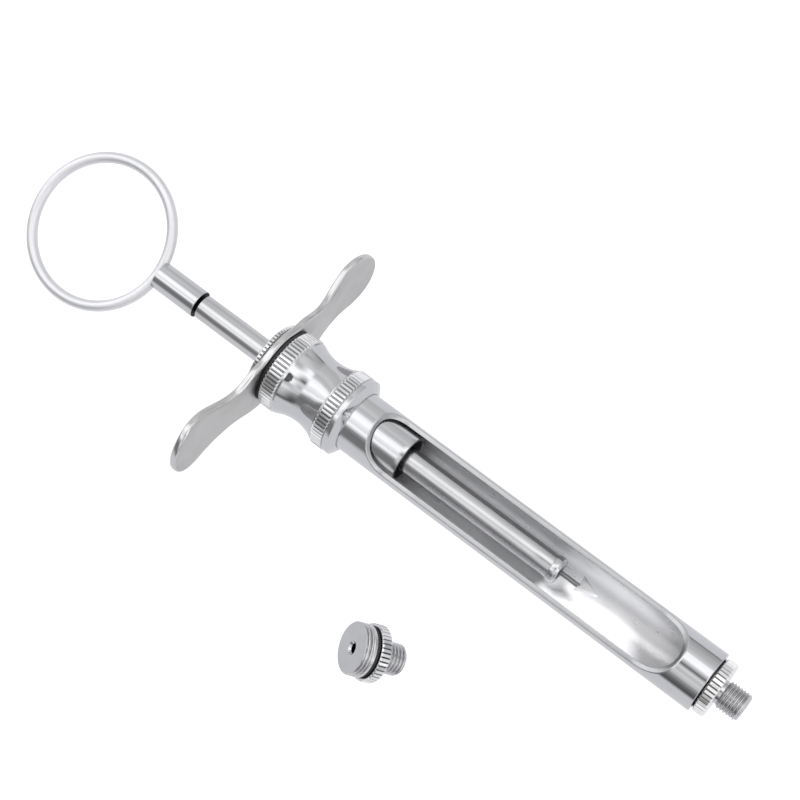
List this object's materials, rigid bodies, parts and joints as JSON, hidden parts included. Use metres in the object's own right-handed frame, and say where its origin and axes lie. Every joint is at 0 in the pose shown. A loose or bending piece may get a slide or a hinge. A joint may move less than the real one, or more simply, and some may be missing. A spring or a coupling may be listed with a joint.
{
  "type": "aspirating dental cartridge syringe",
  "caption": "Side-loading aspirating dental cartridge syringe with thumb ring, finger grip, barbed plunger and a loose spare needle adapter.",
  "frame": {"origin": "on the barrel axis, on the front face of the needle adapter's knurled flange", "axes": "+X along the barrel towards the needle, +Z out of the cartridge window, Y across the finger grip"},
  "size_m": [0.1632, 0.0648, 0.0294],
  "materials": {
    "chrome": "mirror-polished chrome plate with fine wear",
    "satin_steel": "satin steel with polished edges",
    "spring_steel": "drawn spring wire",
    "brass": "turned brass",
    "rubber": "matt black rubber"
  },
  "bodies": {
    "body": {"barrel": "chrome", "spring_housing": "chrome", "guide_bumper": "rubber", "guide_spring": "spring_steel", "spring_seat": "brass", "rod_bush": "brass", "rod_o_ring": "rubber", "grip_washer": "rubber", "rear_nut": "chrome"},
    "grip": {"finger_grip": "satin_steel"},
    "guide": {"guide_sleeve": "chrome"},
    "plunger": {"plunger_rod": "chrome", "harpoon_holder": "chrome", "harpoon": "satin_steel"},
    "ring": {"ring_collar": "chrome", "swivel_snap_ring": "spring_steel", "thumb_ring": "chrome"},
    "adapter_seal": {"adapter_o_ring": "rubber"},
    "adapter": {"needle_adapter": "chrome"},
    "spare": {"spare_adapter": "chrome", "spare_o_ring": "rubber"}
  },
  "joints": [
    {"name": "plunger_slide", "type": "slide", "parent": "body", "child": "plunger", "axis": [1, 0, 0], "range_m": [-0.048, 0.016]},
    {"name": "ring_swivel", "type": "hinge", "parent": "plunger", "child": "ring", "pos_m": [-0.118, 0, 0], "axis": [1, 0, 0], "continuous": true},
    {"name": "grip_swivel", "type": "hinge", "parent": "body", "child": "grip", "pos_m": [-0.099, 0, 0], "axis": [1, 0, 0], "continuous": true},
    {"name": "guide_slide", "type": "slide", "parent": "body", "child": "guide", "axis": [-1, 0, 0], "range_m": [0, 0.0045], "stiffness_N_per_m": 900, "springref_m": -0.002, "deforming": ["guide_spring"]},
    {"name": "adapter_turn", "type": "hinge", "parent": "adapter_seal", "child": "adapter", "pos_m": [0, 0, 0], "axis": [1, 0, 0], "range_deg": [0, 2170]},
    {"name": "adapter_travel", "type": "slide", "parent": "body", "child": "adapter_seal", "axis": [1, 0, 0], "range_m": [0, 0.0045]},
    {"name": "spare_place", "type": "slide", "parent": "body", "child": "spare", "axis": [0, -1, 0], "range_m": [0, 0.03]}
  ],
  "couplings": [
    {"joint": "adapter_turn", "follows": "adapter_travel", "rad_per_m": 8377.6}
  ]
}
